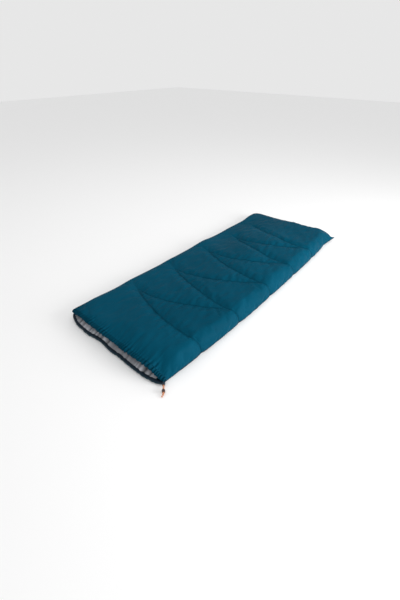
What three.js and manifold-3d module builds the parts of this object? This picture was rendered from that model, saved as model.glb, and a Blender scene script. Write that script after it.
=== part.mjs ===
// Rectangular sleeping bag: a lower and an upper quilted half joined along a fold side,
// closed by an L-shaped two-way zip, with a drawcord mouth and a cord lock.
// Millimetres. +X points to the foot, +Y to the zip side, +Z up. The origin is the centre
// of the footprint, on the ground. The upper half opens about the fold side.

import * as THREE from 'three';
import { mergeVertices } from 'three/addons/utils/BufferGeometryUtils.js';
import Module from 'manifold-3d';

const wasm = await Module();
wasm.setup();

// ---------------------------------------------------------------- driving dimensions
const LENGTH = 1900;          // head corners to the outside of the foot zip
const WIDTH = 750;            // fold edge to the outside of the side zip
const HEIGHT = 95;            // both halves lying together
const LOWER_BULGE = 40;       // how far the lower mouth edge bows out past its corners
const UPPER_BULGE = 15;       // the same for the upper mouth edge
const LOWER_THICK = 38;       // loft of the lower half
const CAVITY = 14;            // sleeping space between the linings, bag empty
const FABRIC = 1.2;           // shell and lining cloth with their stitched batting skin
const WADDING_LOFT = 24;      // wadding in each half; the rest of the loft is air
const GAP = 0.3;              // clearance between neighbouring solids
const ZIP_STANDOFF = 8.8;     // height of a slider's bail over the padded rim
const FOOT_CORNER = 55;       // corner radius where the zip turns
const FOLD_CORNER = 18;       // corner radius at the foot end of the fold
const CORD_DIAMETER = 4;

// ---------------------------------------------------------------- worked out from them
const FOOT_X = (LENGTH + LOWER_BULGE) / 2;
const HEAD_X = FOOT_X - LENGTH;
const FOLD_Y = -WIDTH / 2;
const RIM_X = FOOT_X - ZIP_STANDOFF;
const RIM_Y = WIDTH / 2 - ZIP_STANDOFF;
const UPPER_FLOOR = LOWER_THICK + CAVITY;
const ZIP_Z = LOWER_THICK + CAVITY / 2;

// ---------------------------------------------------------------- finishes
function finish(color, roughness, metalness = 0) {
  return new THREE.MeshStandardMaterial({ color, roughness, metalness });
}
const SHELL = finish(0x0c4a63, 0.6);
const LINING = finish(0x8b8f97, 0.75);
const WADDING = finish(0xe8e8e4, 0.95);
const HEM_CLOTH = finish(0x0b2433, 0.65);
const TAPE = finish(0x0a1f2e, 0.8);
const COIL = finish(0x10202b, 0.45);
const METAL = finish(0x4a4d50, 0.35, 0.9);
const CORD = finish(0xd98a5a, 0.8);
const LOCK = finish(0x3a2a26, 0.5);
const STEEL = finish(0xb0b3b6, 0.3, 1);

// ---------------------------------------------------------------- small helpers
const bag = new THREE.Group();

function piece(name, geometry, material, matrix) {
  const mesh = new THREE.Mesh(geometry, material);
  mesh.name = name;
  if (matrix) mesh.applyMatrix4(matrix);
  bag.add(mesh);
}

function signedVolume(positions, index) {
  let sum = 0;
  const [a, b, c] = [new THREE.Vector3(), new THREE.Vector3(), new THREE.Vector3()];
  for (let i = 0; i < index.length; i += 3) {
    a.fromArray(positions, 3 * index[i]);
    b.fromArray(positions, 3 * index[i + 1]);
    c.fromArray(positions, 3 * index[i + 2]);
    sum += a.dot(b.cross(c)) / 6;
  }
  return sum;
}

// A closed, merged copy of a geometry with its faces pointing out.
function closed(geometry) {
  const bare = geometry.clone();
  bare.deleteAttribute('normal');
  bare.deleteAttribute('uv');
  const merged = mergeVertices(bare, 1e-4);
  const kept = [];
  const index = Array.from(merged.index.array);
  for (let i = 0; i < index.length; i += 3) {
    const [a, b, c] = index.slice(i, i + 3);
    if (a !== b && b !== c && c !== a) kept.push(a, b, c);
  }
  if (signedVolume(merged.attributes.position.array, kept) < 0) kept.reverse();
  merged.setIndex(kept);
  return merged;
}

function toSolid(geometry) {
  const merged = closed(geometry);
  const vertProperties = new Float32Array(merged.attributes.position.array);
  const triVerts = new Uint32Array(merged.index.array);
  return new wasm.Manifold(new wasm.Mesh({ numProp: 3, vertProperties, triVerts }));
}

function fromSolid(solid) {
  const mesh = solid.getMesh();
  const geometry = new THREE.BufferGeometry();
  geometry.setAttribute('position', new THREE.BufferAttribute(mesh.vertProperties, 3));
  geometry.setIndex(new THREE.BufferAttribute(mesh.triVerts, 1));
  return geometry;
}

// A box from its low and high corners.
function block(low, high) {
  const size = high.map((value, i) => value - low[i]);
  const middle = high.map((value, i) => (value + low[i]) / 2);
  return new THREE.BoxGeometry(...size).translate(...middle);
}

function join(geometries) {
  return geometries.map(toSolid).reduce((whole, next) => whole.add(next));
}

// A solid of revolution about +Z from a closed [radius, z] profile.
function turned(profile, segments) {
  const points = profile.map(([radius, z]) => new THREE.Vector2(radius, z));
  points.push(points[0].clone());
  return closed(new THREE.LatheGeometry(points, segments).rotateX(Math.PI / 2));
}

// ---------------------------------------------------------------- outline of a half
// The mouth edge bows out of the line between the head corners.
function mouthX(y, bulge) {
  return HEAD_X - bulge * (1 - Math.pow(Math.abs(2 * y / WIDTH), 4));
}

const TAPER = 40;                         // width of the rounded rim, on the zip sides
const FOLD_SQUEEZE = 0.35;                // the fold side rounds off in less width
const RIM_RINGS = [0, 1.5, 6, 16, TAPER]; // insets where the rim's slope is followed
const MOUTH_SHOULDER = 6;                 // the rounded sides stop this far behind the hem
const MOUTH_REACH = 0.97;                 // share of the half width that the mouth edge takes

function arc(cx, cy, radius, from, to, steps) {
  return Array.from({ length: steps + 1 }, (_, i) => {
    const angle = from + (to - from) * i / steps;
    return [cx + radius * Math.cos(angle), cy + radius * Math.sin(angle), 1];
  });
}

// Points round a half, anticlockwise, moved in by inset, each [x, y, share]. The share is
// 1 where the rim is rounded and 0 on the head side, which is cut off square behind the
// mouth's hem and hardly moves in.
function outline(inset, bulge, hemDepth) {
  const near = FOLD_Y + FOLD_SQUEEZE * inset;
  const far = RIM_Y - inset;
  const foot = RIM_X - inset;
  const head = HEAD_X + hemDepth + 0.1 * inset;
  const foldRadius = Math.max(FOLD_CORNER - inset, 4);
  const footRadius = Math.max(FOOT_CORNER - inset, 12);
  const points = [[head + MOUTH_SHOULDER, near, 1]];
  points.push(...arc(foot - foldRadius, near + foldRadius, foldRadius, -Math.PI / 2, 0, 4));
  points.push(...arc(foot - footRadius, far - footRadius, footRadius, 0, Math.PI / 2, 8));
  points.push([head + MOUTH_SHOULDER, far, 1]);
  const mouthSteps = 14;
  for (let i = 0; i <= mouthSteps; i++) {
    const reach = MOUTH_REACH * (1 - 2 * i / mouthSteps);
    const y = reach > 0 ? reach * far : -reach * near;
    points.push([mouthX(y, bulge) + hemDepth + 0.1 * inset, y, 0]);
  }
  return points;
}

// One layer of a half, between two height functions of (share, inset).
function layer(half, firstRing, floorZ, topZ) {
  const insets = RIM_RINGS.slice(firstRing);
  const rim = outline(0, half.bulge, half.hemDepth);
  const count = rim.length;
  const positions = [];
  for (const height of [floorZ, topZ]) {
    for (const inset of insets) {
      outline(inset, half.bulge, half.hemDepth).forEach(([x, y], i) => {
        positions.push(x, y, height(rim[i][2], inset));
      });
    }
  }
  const index = [];
  const quad = (a, b, c, d) => index.push(a, b, c, a, c, d);
  const upper = insets.length * count;
  for (let i = 0; i < count; i++) {
    const j = (i + 1) % count;
    for (let ring = 0; ring < insets.length - 1; ring++) {
      const [outer, inner] = [ring * count, (ring + 1) * count];
      quad(outer + i, inner + i, inner + j, outer + j);
      quad(upper + outer + i, upper + outer + j, upper + inner + j, upper + inner + i);
    }
    quad(i, j, upper + j, upper + i);
  }
  const last = (insets.length - 1) * count;
  const contour = outline(TAPER, half.bulge, half.hemDepth).map(([x, y]) => new THREE.Vector2(x, y));
  for (const [a, b, c] of THREE.ShapeUtils.triangulateShape(contour, [])) {
    index.push(last + a, last + c, last + b);
    index.push(upper + last + a, upper + last + b, upper + last + c);
  }
  const geometry = new THREE.BufferGeometry();
  geometry.setAttribute('position', new THREE.Float32BufferAttribute(positions, 3));
  geometry.setIndex(index);
  return closed(geometry);
}

// Height of a half's outer cloth surface, which leaves the rim steeply, as an ellipse. The
// inner surface is flat. side is -1 for the lower half and +1 for the upper one.
const RIM_THICK = 6;                      // a half's thickness where it meets the zip

function outerSurface(side, outerFlat, innerFlat) {
  const rimZ = innerFlat + side * RIM_THICK;
  return (share, inset) => {
    const t = 1 - inset / TAPER;
    return outerFlat + (rimZ - outerFlat) * (1 - Math.sqrt(1 - t * t)) * share;
  };
}

function lift(surface, amount) {
  return (share, inset) => surface(share, inset) + amount;
}

const LOWER = { bulge: LOWER_BULGE, hemDepth: 26 };
const UPPER = { bulge: UPPER_BULGE, hemDepth: 20.5 };

function lowerHalf() {
  const outer = outerSurface(-1, 0, LOWER_THICK);
  const inner = () => LOWER_THICK;
  const waddingFloor = lift(outer, FABRIC + GAP);
  const waddingTop = () => FABRIC + GAP + WADDING_LOFT;
  piece('shell_lower', layer(LOWER, 0, outer, lift(outer, FABRIC)), SHELL);
  piece('insulation_lower', layer(LOWER, 1, waddingFloor, waddingTop), WADDING);
  piece('lining_lower', layer(LOWER, 0, lift(inner, -FABRIC), inner), LINING);
}

function upperHalf() {
  const outer = outerSurface(1, HEIGHT, UPPER_FLOOR);
  const inner = () => UPPER_FLOOR;
  const waddingFloor = lift(inner, FABRIC + GAP);
  const underShell = lift(outer, -FABRIC - GAP);
  const waddingTop = (share, inset) => Math.min(waddingFloor() + WADDING_LOFT, underShell(share, inset));
  piece('lining_upper', layer(UPPER, 0, inner, lift(inner, FABRIC)), LINING);
  piece('insulation_upper', layer(UPPER, 1, waddingFloor, waddingTop), WADDING);
  piece('shell_upper', layer(UPPER, 0, lift(outer, -FABRIC), outer), SHELL);
}

// ---------------------------------------------------------------- mouth
const HEM_EDGE = { depth: 23.5, low: 0, high: 30, bulge: LOWER_BULGE, reach: 352, foldEnd: -362 };
const CASING_EDGE = { depth: 18, low: UPPER_FLOOR, high: 74, bulge: UPPER_BULGE, reach: 345, foldEnd: -345 };
const EXIT_Z = 10.5;                      // height of the cord where it leaves the bag
const CASING_TUNNEL_Z = 11;               // from the casing's underside
const TUNNEL_RADIUS = 3.2;

// A line parallel to a mouth edge, in by depth, from the zip side to the fold side.
function mouthPath(edge, depth, z, from, to) {
  const steps = 12;
  const points = [];
  for (let i = 0; i <= steps; i++) {
    const y = from + (to - from) * i / steps;
    const slope = (mouthX(y + 1, edge.bulge) - mouthX(y - 1, edge.bulge)) / 2;
    const scale = depth / Math.hypot(1, slope);
    points.push(new THREE.Vector3(mouthX(y, edge.bulge) + scale, y - slope * scale, z));
  }
  return new THREE.CatmullRomCurve3(points);
}

// Along such a line a section's x runs down and its y runs into the bag.
function sweep(section, path, steps) {
  return closed(new THREE.ExtrudeGeometry(section, { extrudePath: path, steps, curveSegments: 4 }));
}

function bandSection(edge, tunnelZ) {
  const height = edge.high - edge.low;
  const outlinePoints = [
    [3, 0], [edge.depth, 0], [edge.depth, height],
    [9, height], [3, 0.85 * height], [0, 0.6 * height], [0, 3],
  ];
  const section = new THREE.Shape(outlinePoints.map(([depth, z]) => new THREE.Vector2(-z, depth)));
  const tunnel = new THREE.Path();
  tunnel.absarc(-tunnelZ, edge.depth / 2, TUNNEL_RADIUS, 0, 2 * Math.PI, true);
  section.holes.push(tunnel);
  return section;
}

function cordSection() {
  const points = Array.from({ length: 8 }, (_, i) => {
    const angle = (i + 0.5) * Math.PI / 4;
    return new THREE.Vector2(Math.cos(angle), Math.sin(angle)).multiplyScalar(CORD_DIAMETER / 2);
  });
  return new THREE.Shape(points);
}

function mouth() {
  const steps = 14;
  const bands = [
    ['mouth_hem_lower', 'drawcord_run_lower', HEM_EDGE, HEM_CLOTH, EXIT_Z],
    ['mouth_casing_upper', 'drawcord_run_upper', CASING_EDGE, SHELL, CASING_TUNNEL_Z],
  ];
  for (const [bandName, cordName, edge, cloth, tunnelZ] of bands) {
    const band = mouthPath(edge, 0, edge.low, edge.reach, edge.foldEnd);
    piece(bandName, sweep(bandSection(edge, tunnelZ), band, steps), cloth);
    const run = mouthPath(edge, edge.depth / 2, edge.low + tunnelZ, edge.reach - 8, edge.foldEnd + 8);
    piece(cordName, sweep(cordSection(), run, steps), CORD);
  }
}

// ---------------------------------------------------------------- fold side
function foldPiping() {
  const radius = 2.5;
  const section = new THREE.Shape();
  section.absarc(0, 0, radius, Math.PI / 10, 2 * Math.PI - Math.PI / 10, false);
  section.lineTo(radius + 4, -0.5);
  section.lineTo(radius + 4, 0.5);
  const length = RIM_X - HEAD_X - 60;
  const piping = new THREE.ExtrudeGeometry(section, { depth: length, bevelEnabled: false, curveSegments: 4 });
  const toRow = new THREE.Matrix4().makeBasis(
    new THREE.Vector3(0, 1, 0), new THREE.Vector3(0, 0, 1), new THREE.Vector3(1, 0, 0));
  toRow.setPosition(HEAD_X + 35, FOLD_Y + radius, radius + GAP);
  piece('fold_side_piping', closed(piping), TAPE, toRow);
}

// ---------------------------------------------------------------- zip
// Across the zip, n is the distance out from the padded rim and v the height over the
// middle of the chain.
const TAPE_N = [0.3, 1.1];
const TAPE_V = [1.0, 14];
const COIL_N = [1.4, 3.6];
const COIL_V = [0.7, 3.2];
const STOP_LENGTH = 2.5;
const SLIDER_LENGTH = 14;
const HEAD_CHAIN = HEAD_X + 0.5;          // head end of the lower chain
const FOLD_CHAIN = FOLD_Y + 50;           // fold end of the foot chain
const SLIDER_FROM_END = STOP_LENGTH + 0.7 + SLIDER_LENGTH / 2;
const UPPER_CHAIN_START = SLIDER_FROM_END + SLIDER_LENGTH / 2 + 3.5;

// An upright strip that follows the side zip, turns the foot corner and follows the foot.
function strip([nIn, nOut], [vLow, vHigh], headX, foldEndY) {
  const cornerX = RIM_X - FOOT_CORNER;
  const cornerY = RIM_Y - FOOT_CORNER;
  const shape = new THREE.Shape();
  shape.moveTo(headX, RIM_Y + nOut);
  shape.lineTo(cornerX, RIM_Y + nOut);
  shape.absarc(cornerX, cornerY, FOOT_CORNER + nOut, Math.PI / 2, 0, true);
  shape.lineTo(RIM_X + nOut, foldEndY);
  shape.lineTo(RIM_X + nIn, foldEndY);
  shape.lineTo(RIM_X + nIn, cornerY);
  shape.absarc(cornerX, cornerY, FOOT_CORNER + nIn, 0, Math.PI / 2, false);
  shape.lineTo(headX, RIM_Y + nIn);
  const geometry = new THREE.ExtrudeGeometry(shape,
    { depth: vHigh - vLow, bevelEnabled: false, curveSegments: 4 });
  return closed(geometry.translate(0, 0, ZIP_Z + vLow));
}

function zipTapesAndCoils() {
  const coilGap = STOP_LENGTH + GAP;
  const below = ([low, high]) => [-high, -low];
  piece('zip_tape_lower', strip(TAPE_N, below(TAPE_V), HEAD_CHAIN, FOLD_CHAIN), TAPE);
  piece('zip_coil_lower', strip(COIL_N, below(COIL_V), HEAD_CHAIN + coilGap, FOLD_CHAIN + coilGap), COIL);
  const [head, fold] = [HEAD_CHAIN + UPPER_CHAIN_START, FOLD_CHAIN + UPPER_CHAIN_START];
  piece('zip_tape_upper', strip(TAPE_N, TAPE_V, head, fold), TAPE);
  piece('zip_coil_upper', strip(COIL_N, COIL_V, head, fold), COIL);
}

// Frames that carry x along the chain, away from its parked end, and y outwards.
function headFrame(along) {
  return new THREE.Matrix4().setPosition(HEAD_CHAIN + along, RIM_Y, ZIP_Z);
}

function footFrame(along) {
  const frame = new THREE.Matrix4().makeBasis(
    new THREE.Vector3(0, 1, 0), new THREE.Vector3(1, 0, 0), new THREE.Vector3(0, 0, -1));
  return frame.setPosition(RIM_X, FOLD_CHAIN + along, ZIP_Z);
}

function zipStop() {
  return closed(block([0, COIL_N[0], COIL_V[0]], [STOP_LENGTH, COIL_N[1] + 0.2, COIL_V[1] + 0.8]));
}

const SLIDER_HALF = SLIDER_LENGTH / 2;
const PLATE_N = [4.0, 5.2];               // outer plate of a slider
const BAIL_N = [7.6, ZIP_STANDOFF];       // the bar that the puller hangs on
const PIVOT_N = (PLATE_N[1] + BAIL_N[0]) / 2;

function slider() {
  const lipV = [3.6, 4.8];
  const bailHalf = 4.6;
  const bailWall = 1.2;
  const bailV = 0.8;
  const parts = [
    block([-SLIDER_HALF, PLATE_N[0], -lipV[1]], [SLIDER_HALF, PLATE_N[1], lipV[1]]),
    block([-SLIDER_HALF, 1.5, lipV[0]], [SLIDER_HALF, PLATE_N[1], lipV[1]]),
    block([-SLIDER_HALF, 1.5, -lipV[1]], [SLIDER_HALF, PLATE_N[1], -lipV[0]]),
    block([-SLIDER_HALF, -1.4, -4.4], [SLIDER_HALF, -0.1, 4.4]),
    block([-SLIDER_HALF, -1, -0.35], [3 - SLIDER_HALF, PLATE_N[1], 0.35]),
    block([-bailHalf, PLATE_N[0], -bailV], [bailWall - bailHalf, BAIL_N[1], bailV]),
    block([bailHalf - bailWall, PLATE_N[0], -bailV], [bailHalf, BAIL_N[1], bailV]),
    block([-bailHalf, BAIL_N[0], -bailV], [bailHalf, BAIL_N[1], bailV]),
  ];
  return fromSolid(join(parts));
}

// A flat tab with a window that hooks round the bail; x runs along it from its pivot.
function puller() {
  const half = 0.65;
  const shape = new THREE.Shape();
  shape.moveTo(-half, -3.3);
  shape.lineTo(9, -3.3);
  shape.lineTo(12, -4);
  shape.lineTo(31, -4);
  shape.absarc(31, 0, 4, -Math.PI / 2, Math.PI / 2, false);
  shape.lineTo(12, 4);
  shape.lineTo(9, 3.3);
  shape.lineTo(-half, 3.3);
  const window = new THREE.Path();
  window.moveTo(half, -1.3);
  window.lineTo(half, 1.3);
  window.lineTo(8, 1.3);
  window.lineTo(8, -1.3);
  shape.holes.push(window);
  const tab = new THREE.ExtrudeGeometry(shape, { depth: 2 * half, bevelEnabled: false, curveSegments: 4 });
  return closed(tab.translate(0, 0, -half).rotateX(Math.PI / 2).translate(0, PIVOT_N, 0));
}

function zipHardware() {
  for (const [end, frame, flip] of [['head', headFrame, -1], ['foot', footFrame, 1]]) {
    const stop = zipStop().scale(1, 1, flip);
    piece(`zip_stop_${end}`, closed(stop), METAL, frame(0));
    piece(`zip_slider_${end}`, slider(), METAL, frame(SLIDER_FROM_END));
    piece(`zip_puller_${end}`, puller(), METAL, frame(SLIDER_FROM_END));
  }
}

// ---------------------------------------------------------------- drawcord outlet and cord lock
const EXIT = new THREE.Vector3(HEAD_X - 8, FOLD_Y - 3, EXIT_Z);
const AWAY = new THREE.Vector3(-1, -1, 0).normalize();   // the way the cord leaves
const STRAND_SPACING = 4.4;
const LOCK_AT = 31;                       // lock centre, along the cord from the outlet
const LOCK_RADIUS = 7.6;

function alongCord(distance, z = EXIT_Z) {
  return EXIT.clone().addScaledVector(AWAY, distance).setZ(z);
}

// The middle line of the two strands: straight out, through the lock, down to the knot.
const TAIL = [[-3.3, -2.6, -0.7], [-7.2, -4.8, -2.4], [-11.2, -6.1, -4.4]];
const KNOT_FROM_TAIL = new THREE.Vector3(-16.3, -7.2, -5.6);
const KNOT_RADIUS = 4.6;

function strandPath(side) {
  const straight = [-11, -4, 4, 12, 20, 28, 36, 40].map((distance) => alongCord(distance));
  const start = straight[straight.length - 1];
  const middle = [...straight, ...TAIL.map((offset) => start.clone().add(new THREE.Vector3(...offset)))];
  const moved = middle.map((point, i) => {
    const before = middle[Math.max(i - 1, 0)];
    const after = middle[Math.min(i + 1, middle.length - 1)];
    const across = new THREE.Vector3(before.y - after.y, after.x - before.x, 0).normalize();
    return point.clone().addScaledVector(across, side * STRAND_SPACING / 2);
  });
  return new THREE.CatmullRomCurve3(moved);
}

// A tapered sleeve at the corner of the mouth, bored for both strands.
function outlet() {
  const sleeve = turned([[4.9, -13], [8, -13], [6.6, -2], [6.2, 0], [4.9, 0]], 16);
  const turn = new THREE.Matrix4().makeBasis(
    new THREE.Vector3(0, 0, 1), new THREE.Vector3(AWAY.y, -AWAY.x, 0), AWAY);
  piece('drawcord_outlet', sleeve, HEM_CLOTH, turn.setPosition(EXIT));
}

// Cross-bore for the strands, centred on the lock's axis.
function strandBore(halfWidth, low, high) {
  const bore = block([-12, -halfWidth, low], [12, halfWidth, high]);
  return toSolid(bore.rotateZ(Math.atan2(AWAY.y, AWAY.x)));
}

function cordLock() {
  const at = new THREE.Matrix4().setPosition(alongCord(LOCK_AT, 0));
  const low = 0.4;
  const high = 17.4;
  const floor = low + 1.5;
  const pressed = 2.5;
  const boreLow = EXIT_Z - 2.4;
  const boreHigh = EXIT_Z + 2.4;
  const barrel = turned([
    [0, low], [6.4, low], [LOCK_RADIUS, 3], [LOCK_RADIUS, 14.5], [6.8, high],
    [5.9, high], [5.9, floor], [0, floor],
  ], 20);
  const body = toSolid(barrel).subtract(strandBore(4.6, boreLow, boreHigh));
  piece('cord_lock_body', fromSolid(body), LOCK, at);

  const plungerFoot = boreLow - 1.3;
  const stem = turned([
    [0, plungerFoot], [5.6, plungerFoot], [5.6, 20.2], [4.4, 21.4], [0, 21.4],
  ], 20);
  const button = toSolid(stem).subtract(strandBore(4.6, boreLow, boreHigh + pressed));
  piece('cord_lock_button', fromSolid(button), LOCK, at);

  const [springFoot, springTop] = [floor + GAP, plungerFoot - GAP];
  const springProfile = [[3.2, springFoot], [4.4, springFoot], [4.4, springTop], [3.2, springTop]];
  const spring = turned(springProfile, 12);
  piece('cord_lock_spring', spring, STEEL, at);
}

function freeCord() {
  const steps = 16;
  piece('drawcord_strand_a', sweep(cordSection(), strandPath(1), steps), CORD);
  piece('drawcord_strand_b', sweep(cordSection(), strandPath(-1), steps), CORD);
  const knot = closed(new THREE.SphereGeometry(KNOT_RADIUS, 10, 7));
  const knotAt = alongCord(40).add(KNOT_FROM_TAIL);
  piece('drawcord_knot', knot, CORD, new THREE.Matrix4().setPosition(knotAt));
}

lowerHalf();
upperHalf();
mouth();
foldPiping();
zipTapesAndCoils();
zipHardware();
outlet();
freeCord();
cordLock();

export default bag;
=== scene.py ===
"""Looks of the rectangular sleeping bag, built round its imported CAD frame.

Metres, in the CAD's frame: +X runs to the foot, +Y to the zip side, +Z up. The upper
half opens about the fold side, which is at the low end of Y.
"""

import math

import bpy
import numpy as np
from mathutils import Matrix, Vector
from mathutils.bvhtree import BVHTree


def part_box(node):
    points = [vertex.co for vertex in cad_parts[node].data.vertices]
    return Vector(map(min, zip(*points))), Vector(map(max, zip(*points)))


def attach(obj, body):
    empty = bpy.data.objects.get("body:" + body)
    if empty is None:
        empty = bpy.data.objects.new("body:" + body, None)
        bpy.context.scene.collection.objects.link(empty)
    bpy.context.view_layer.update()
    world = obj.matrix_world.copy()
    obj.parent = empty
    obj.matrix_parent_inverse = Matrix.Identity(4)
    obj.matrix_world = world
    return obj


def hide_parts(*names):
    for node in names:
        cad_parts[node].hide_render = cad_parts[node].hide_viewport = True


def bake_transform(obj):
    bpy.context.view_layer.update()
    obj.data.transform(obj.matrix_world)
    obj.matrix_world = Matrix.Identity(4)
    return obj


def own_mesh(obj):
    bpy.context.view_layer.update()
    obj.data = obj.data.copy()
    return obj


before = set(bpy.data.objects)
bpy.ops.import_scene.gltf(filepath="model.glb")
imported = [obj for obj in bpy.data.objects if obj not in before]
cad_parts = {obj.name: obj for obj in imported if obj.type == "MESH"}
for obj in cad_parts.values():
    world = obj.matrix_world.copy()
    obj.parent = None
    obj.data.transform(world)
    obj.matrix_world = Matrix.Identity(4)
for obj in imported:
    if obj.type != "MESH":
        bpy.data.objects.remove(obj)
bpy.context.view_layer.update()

# ---------------- sizes, from the frame
SHELL_LOW, SHELL_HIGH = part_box("shell_lower")
HEM_LOW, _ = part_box("mouth_hem_lower")
CASING_LOW, CASING_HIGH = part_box("mouth_casing_upper")

FOLD_Y = SHELL_LOW.y
RIM_Y = SHELL_HIGH.y
RIM_X = SHELL_HIGH.x
TOP_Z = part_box("shell_upper")[1].z
LOWER_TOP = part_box("lining_lower")[1].z
UPPER_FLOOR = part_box("lining_upper")[0].z
CHAIN_Z = (LOWER_TOP + UPPER_FLOOR) / 2  # middle of the zip's chain
HALF_WIDTH = -FOLD_Y
LOWER_BULGE = 0.040  # how far each half's mouth edge bows out
UPPER_BULGE = 0.015
HEAD_X = HEM_LOW.x + LOWER_BULGE  # the mouth's corners
HEM_DEPTH = 0.018
CASING_DEPTH = 0.018
ZIP_RIM_Z = UPPER_FLOOR - 0.0002  # the top's edge along the zip
CORNER = 0.055  # radius of the foot corner on the zip side
TOP_CORNER = 0.060
LINING_CORNER = CORNER + 0.014
SQUARENESS = 2.6  # 2 would make the rolled edges quite round

# ---------------- small helpers
RNG = np.random.default_rng(7)


def smooth(t):
    """Rises from 0 to 1 as t does, with a soft start and end."""
    s = np.clip(t, 0, 1)
    return s * s * (3 - 2 * s)


def lerp(a, b, t):
    return a + (b - a) * t


def squarer(cosine, sine):
    """How far out a rounded box runs where a circle with these points runs 1 out."""
    return (np.abs(cosine) ** SQUARENESS + np.abs(sine) ** SQUARENESS) ** (-1 / SQUARENESS)


class Waves:
    """A smooth random field: a sum of plane waves, with a spread of about 1."""

    def __init__(self, low, high, count=14):
        length = RNG.uniform(low, high, count)
        angle = RNG.uniform(0, 2 * math.pi, count)
        self.kx = 2 * math.pi * np.cos(angle) / length
        self.ky = 2 * math.pi * np.sin(angle) / length
        self.phase = RNG.uniform(0, 2 * math.pi, count)
        self.scale = math.sqrt(2 / count)

    def __call__(self, x, y=0.0):
        x, y = np.broadcast_arrays(np.asarray(x, float), np.asarray(y, float))
        total = np.zeros(x.shape)
        for kx, ky, phase in zip(self.kx, self.ky, self.phase):
            total += np.sin(kx * x + ky * y + phase)
        return total * self.scale


def mesh_object(name, points, faces, attributes=None):
    mesh = bpy.data.meshes.new(name)
    mesh.from_pydata(np.reshape(points, (-1, 3)).tolist(), [], faces)
    mesh.validate()
    mesh.shade_smooth()
    for key, values in (attributes or {}).items():
        layer = mesh.attributes.new(key, "FLOAT", "POINT")
        layer.data.foreach_set("value", np.asarray(values, np.float32).ravel())
    obj = bpy.data.objects.new(name, mesh)
    bpy.context.scene.collection.objects.link(obj)
    return obj


def grid_faces(rows, columns, closed=False, flip=False):
    """Quads between rows of points. closed joins each row's last point to its first."""
    faces = []
    for i in range(rows - 1):
        for j in range(columns if closed else columns - 1):
            k = (j + 1) % columns
            quad = (i * columns + j, i * columns + k, (i + 1) * columns + k, (i + 1) * columns + j)
            faces.append(quad[::-1] if flip else quad)
    return faces


def grid_object(name, points, flip=False, attributes=None):
    rows, columns = points.shape[:2]
    return mesh_object(name, points, grid_faces(rows, columns, flip=flip), attributes)


def closed_band(name, rings, attributes=None):
    """A tube or band made of rings of points, closed at both ends."""
    count, sides = np.shape(rings)[:2]
    last = (count - 1) * sides
    ends = [tuple(range(sides))[::-1], tuple(last + k for k in range(sides))]
    return mesh_object(name, rings, grid_faces(count, sides, closed=True) + ends, attributes)


def grid_normals(points):
    along = np.gradient(points, axis=0)
    across = np.gradient(points, axis=1)
    normal = np.cross(along, across)
    return normal / np.maximum(np.linalg.norm(normal, axis=2, keepdims=True), 1e-12)


def thicken(obj, thickness, offset=-1.0):
    """Gives a sheet its cloth thickness: to the inside, or to both sides at offset 0."""
    modifier = obj.modifiers.new("cloth", "SOLIDIFY")
    modifier.thickness = thickness
    modifier.offset = offset
    modifier.use_even_offset = False
    apply_modifiers(obj)


def apply_modifiers(obj):
    graph = bpy.context.evaluated_depsgraph_get()
    graph.update()
    evaluated = obj.evaluated_get(graph)
    mesh = bpy.data.meshes.new_from_object(evaluated, preserve_all_data_layers=True, depsgraph=graph)
    obj.modifiers.clear()
    obj.data = mesh
    mesh.shade_smooth()


def subdivide(obj):
    modifier = obj.modifiers.new("finer", "SUBSURF")
    modifier.levels = modifier.render_levels = 1
    apply_modifiers(obj)


def coordinates(mesh):
    flat = np.empty(len(mesh.vertices) * 3, np.float32)
    mesh.vertices.foreach_get("co", flat)
    return flat.reshape(-1, 3).astype(float)


def set_coordinates(mesh, points):
    mesh.vertices.foreach_set("co", points.astype(np.float32).ravel())
    mesh.update()


def point_normals(mesh):
    flat = np.empty(len(mesh.vertices) * 3, np.float32)
    mesh.vertex_normals.foreach_get("vector", flat)
    return flat.reshape(-1, 3).astype(float)


def read_attribute(mesh, name):
    values = np.empty(len(mesh.vertices), np.float32)
    mesh.attributes[name].data.foreach_get("value", values)
    return values.astype(float)


def settle(obj, held, pressure, extra_cloth, limit, frames=18):
    """A short cloth simulation: the cloth swells and puckers between its held points, and
    no point moves further than limit."""
    group = obj.vertex_groups.new(name="held")
    group.add([int(i) for i in np.nonzero(np.ravel(held))[0]], 1.0, "REPLACE")
    start = coordinates(obj.data)
    modifier = obj.modifiers.new("settle", "CLOTH")
    cloth = modifier.settings
    cloth.quality = 4
    cloth.mass = 0.2
    cloth.tension_stiffness = cloth.compression_stiffness = 14
    cloth.shear_stiffness = 6
    cloth.bending_stiffness = 0.25
    cloth.air_damping = 4
    cloth.vertex_group_mass = "held"
    cloth.use_pressure = True
    cloth.uniform_pressure_force = pressure
    cloth.shrink_min = cloth.shrink_max = -extra_cloth
    cloth.effector_weights.gravity = 0
    modifier.collision_settings.use_collision = False
    modifier.point_cache.frame_end = frames
    for number in range(1, frames + 1):
        bpy.context.scene.frame_set(number)
    graph = bpy.context.evaluated_depsgraph_get()
    end = coordinates(obj.evaluated_get(graph).data)
    obj.modifiers.remove(modifier)
    bpy.context.scene.frame_set(1)
    obj.vertex_groups.clear()
    step = end - start
    far = np.linalg.norm(step, axis=1, keepdims=True)
    set_coordinates(obj.data, start + step * np.minimum(1, limit / np.maximum(far, 1e-9)))


# ---------------- camera
CAMERA_PLACE = (-1.533, -1.111, 1.200)
CAMERA_AZIMUTH, CAMERA_DOWN = 40.85, 37.15  # degrees, from +X and below level
CAMERA_LENS = 19.3


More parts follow.
